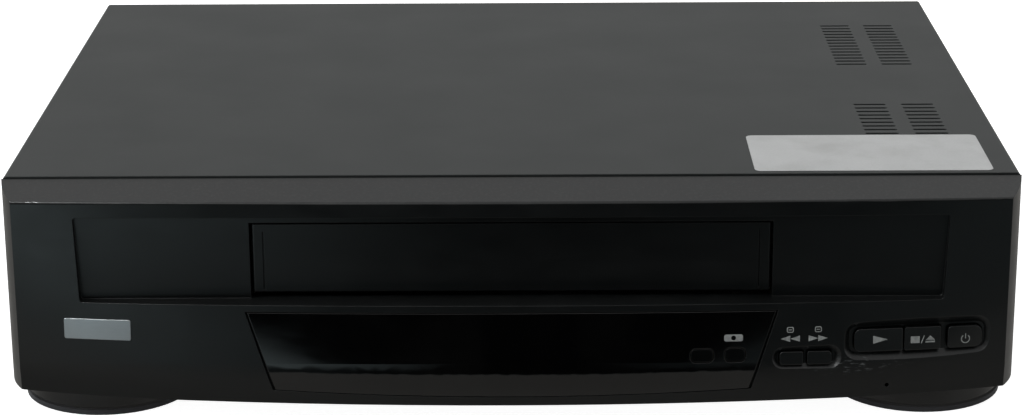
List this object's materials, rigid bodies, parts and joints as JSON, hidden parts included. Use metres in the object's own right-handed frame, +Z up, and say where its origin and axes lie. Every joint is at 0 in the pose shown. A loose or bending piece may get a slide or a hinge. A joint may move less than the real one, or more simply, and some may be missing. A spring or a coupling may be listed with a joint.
{
  "type": "video cassette recorder",
  "caption": "Low front-loading video cassette recorder with a bowed front, flap door, smoked window, rounded keys, round feet and a working tape deck inside.",
  "frame": {"origin": "on the ground, in the middle of the outline seen from above", "axes": "+X to the right seen from the front, +Y towards the back, +Z up; the front faces -Y"},
  "size_m": [0.384, 0.3113, 0.091],
  "materials": {
    "panel_plastic": "fine-grained satin",
    "key_plastic": "satin",
    "smoked_window": "polished, smoked",
    "badge_metal": "brushed",
    "cover_steel": "fine satin paint",
    "chassis_plastic": "matt",
    "foot_plastic": "smooth",
    "pad_rubber": "matt",
    "display_glass": "clear",
    "receiver_plastic": "polished",
    "switch_plastic": "matt",
    "circuit_board": "matt",
    "ribbon_plastic": "satin",
    "transformer_steel": "varnished",
    "bare_aluminium": "extruded",
    "can_sleeve": "shiny sleeve",
    "socket_plastic": "matt",
    "tuner_case": "tinned",
    "zinc_steel": "zinc plated",
    "pin_steel": "ground",
    "screw_steel": "dark passivated",
    "spring_steel": "drawn",
    "gear_plastic": "moulded",
    "reel_plastic": "moulded",
    "roller_rubber": "ground",
    "capstan_steel": "polished",
    "cast_aluminium": "die cast",
    "drum_aluminium": "turned",
    "head_metal": "lapped",
    "motor_steel": "nickel plated"
  },
  "bodies": {
    "body": {"front_panel": "panel_plastic", "display_window": "smoked_window", "badge_plate": "badge_metal", "tact_switches": "switch_plastic", "top_cover": "cover_steel", "front_feet": "foot_plastic", "rear_feet": "foot_plastic", "foot_pads": "pad_rubber", "base_tray": "chassis_plastic", "rear_panel": "cover_steel", "door_spring": "spring_steel", "display_tube": "display_glass", "remote_receiver": "receiver_plastic", "front_board": "circuit_board", "ribbon_cable": "ribbon_plastic", "main_board": "circuit_board", "power_board": "circuit_board", "mains_transformer": "transformer_steel", "heatsink": "bare_aluminium", "capacitors": "can_sleeve", "video_sockets": "socket_plastic", "audio_sockets": "socket_plastic", "tuner_module": "tuner_case", "mains_inlet": "socket_plastic", "carriage_frame": "zinc_steel", "deck_plate": "zinc_steel", "pivot_pins": "pin_steel", "capstan_motor_board": "circuit_board", "drive_belt": "roller_rubber", "drum_base": "cast_aluminium", "lower_drum": "drum_aluminium", "fixed_heads": "head_metal", "loading_motor": "motor_steel", "machine_screws": "screw_steel"},
    "door": {"cassette_door": "panel_plastic"},
    "play_key": {"play_button": "key_plastic"},
    "stop_key": {"stop_button": "key_plastic"},
    "power_key": {"power_button": "key_plastic"},
    "rewind_key": {"rewind_button": "key_plastic"},
    "fast_forward_key": {"fast_forward_button": "key_plastic"},
    "channel_key": {"channel_button": "key_plastic"},
    "record_key": {"record_button": "key_plastic"},
    "head_drum": {"upper_drum": "drum_aluminium", "drum_rotor": "drum_aluminium"},
    "capstan": {"capstan_rotor": "capstan_steel"},
    "clutch": {"clutch_wheel": "gear_plastic"},
    "idler_lever": {"idler_arm": "zinc_steel"},
    "idler": {"idler_gear": "gear_plastic"},
    "supply_reel": {"supply_reel_table": "reel_plastic"},
    "takeup_reel": {"takeup_reel_table": "reel_plastic"},
    "pinch_lever": {"pinch_arm": "zinc_steel"},
    "pinch_wheel": {"pinch_roller": "roller_rubber"},
    "tension_lever": {"tension_arm": "zinc_steel"},
    "mode_cam": {"mode_cam_wheel": "gear_plastic"},
    "worm": {"loading_worm": "gear_plastic"},
    "supply_guide_base": {"supply_guide": "pin_steel"},
    "takeup_guide_base": {"takeup_guide": "pin_steel"},
    "carriage": {"carriage_slider": "zinc_steel"},
    "holder": {"cassette_holder": "zinc_steel"}
  },
  "joints": [
    {"name": "door_hinge", "type": "hinge", "parent": "body", "child": "door", "pos_m": [0, -0.1351, 0.081], "axis": [1, 0, 0], "range_deg": [0, 90], "stiffness_Nm_per_rad": 0.006, "springref_deg": -17.19},
    {"name": "play_press", "type": "slide", "parent": "body", "child": "play_key", "axis": [0, 1, 0], "range_m": [0, 0.001], "stiffness_N_per_m": 300, "springref_m": -0.0005},
    {"name": "stop_press", "type": "slide", "parent": "body", "child": "stop_key", "axis": [0, 1, 0], "range_m": [0, 0.001], "stiffness_N_per_m": 300, "springref_m": -0.0005},
    {"name": "power_press", "type": "slide", "parent": "body", "child": "power_key", "axis": [0, 1, 0], "range_m": [0, 0.001], "stiffness_N_per_m": 300, "springref_m": -0.0005},
    {"name": "rewind_press", "type": "slide", "parent": "body", "child": "rewind_key", "axis": [0, 1, 0], "range_m": [0, 0.001], "stiffness_N_per_m": 300, "springref_m": -0.0005},
    {"name": "fast_forward_press", "type": "slide", "parent": "body", "child": "fast_forward_key", "axis": [0, 1, 0], "range_m": [0, 0.001], "stiffness_N_per_m": 300, "springref_m": -0.0005},
    {"name": "channel_press", "type": "slide", "parent": "body", "child": "channel_key", "axis": [0, 1, 0], "range_m": [0, 0.001], "stiffness_N_per_m": 300, "springref_m": -0.0005},
    {"name": "record_press", "type": "slide", "parent": "body", "child": "record_key", "axis": [0, 1, 0], "range_m": [0, 0.001], "stiffness_N_per_m": 300, "springref_m": -0.0005},
    {"name": "drum_spin", "type": "hinge", "parent": "body", "child": "head_drum", "pos_m": [0, 0.0636, 0.0314], "axis": [0, -0.0993, 0.9951], "continuous": true},
    {"name": "capstan_spin", "type": "hinge", "parent": "body", "child": "capstan", "pos_m": [0.064, 0.0316, 0.0264], "axis": [0, 0, 1], "continuous": true},
    {"name": "clutch_spin", "type": "hinge", "parent": "body", "child": "clutch", "pos_m": [0, -0.0084, 0.0264], "axis": [0, 0, 1], "continuous": true},
    {"name": "idler_swing", "type": "hinge", "parent": "body", "child": "idler_lever", "pos_m": [0, -0.0084, 0.0264], "axis": [0, 0, 1], "range_deg": [-43, 43]},
    {"name": "idler_spin", "type": "hinge", "parent": "idler_lever", "child": "idler", "pos_m": [0, -0.0294, 0.0286], "axis": [0, 0, 1], "continuous": true},
    {"name": "supply_reel_spin", "type": "hinge", "parent": "body", "child": "supply_reel", "pos_m": [-0.046, -0.0344, 0.0264], "axis": [0, 0, 1], "continuous": true},
    {"name": "takeup_reel_spin", "type": "hinge", "parent": "body", "child": "takeup_reel", "pos_m": [0.046, -0.0344, 0.0264], "axis": [0, 0, 1], "continuous": true},
    {"name": "pinch_swing", "type": "hinge", "parent": "body", "child": "pinch_lever", "pos_m": [0.078, 0.0516, 0.0264], "axis": [0, 0, 1], "range_deg": [0, 17.5], "stiffness_Nm_per_rad": 0.05, "springref_deg": -5.73},
    {"name": "pinch_roller_spin", "type": "hinge", "parent": "pinch_lever", "child": "pinch_wheel", "pos_m": [0.05, 0.0416, 0.0264], "axis": [0, 0, 1], "continuous": true},
    {"name": "tension_swing", "type": "hinge", "parent": "body", "child": "tension_lever", "pos_m": [-0.064, 0.0256, 0.0264], "axis": [0, 0, 1], "range_deg": [-6, 6], "stiffness_Nm_per_rad": 0.05},
    {"name": "cam_turn", "type": "hinge", "parent": "body", "child": "mode_cam", "pos_m": [0.078, 0.0856, 0.0345], "axis": [0, 0, 1], "range_deg": [0, 270]},
    {"name": "worm_turn", "type": "hinge", "parent": "body", "child": "worm", "pos_m": [0.078, 0.1074, 0.0375], "axis": [1, 0, 0], "range_deg": [0, 11880]},
    {"name": "supply_guide_slide", "type": "slide", "parent": "body", "child": "supply_guide_base", "axis": [-0.2467, 0.9691, 0], "range_m": [0, 0.05675]},
    {"name": "takeup_guide_slide", "type": "slide", "parent": "body", "child": "takeup_guide_base", "axis": [0.2467, 0.9691, 0], "range_m": [0, 0.05675]},
    {"name": "carriage_in", "type": "slide", "parent": "body", "child": "carriage", "axis": [0, 1, 0], "range_m": [0, 0.0675]},
    {"name": "holder_down", "type": "slide", "parent": "carriage", "child": "holder", "axis": [0, 0, -1], "range_m": [0, 0.018]}
  ],
  "couplings": [
    {"joint": "clutch_spin", "follows": "capstan_spin", "ratio": 0.57143},
    {"joint": "idler_spin", "follows": "capstan_spin", "ratio": -0.3609},
    {"joint": "takeup_guide_slide", "follows": "supply_guide_slide", "ratio": 1},
    {"joint": "cam_turn", "follows": "supply_guide_slide", "rad_per_m": 83.02},
    {"joint": "worm_turn", "follows": "supply_guide_slide", "rad_per_m": 3652.9}
  ]
}
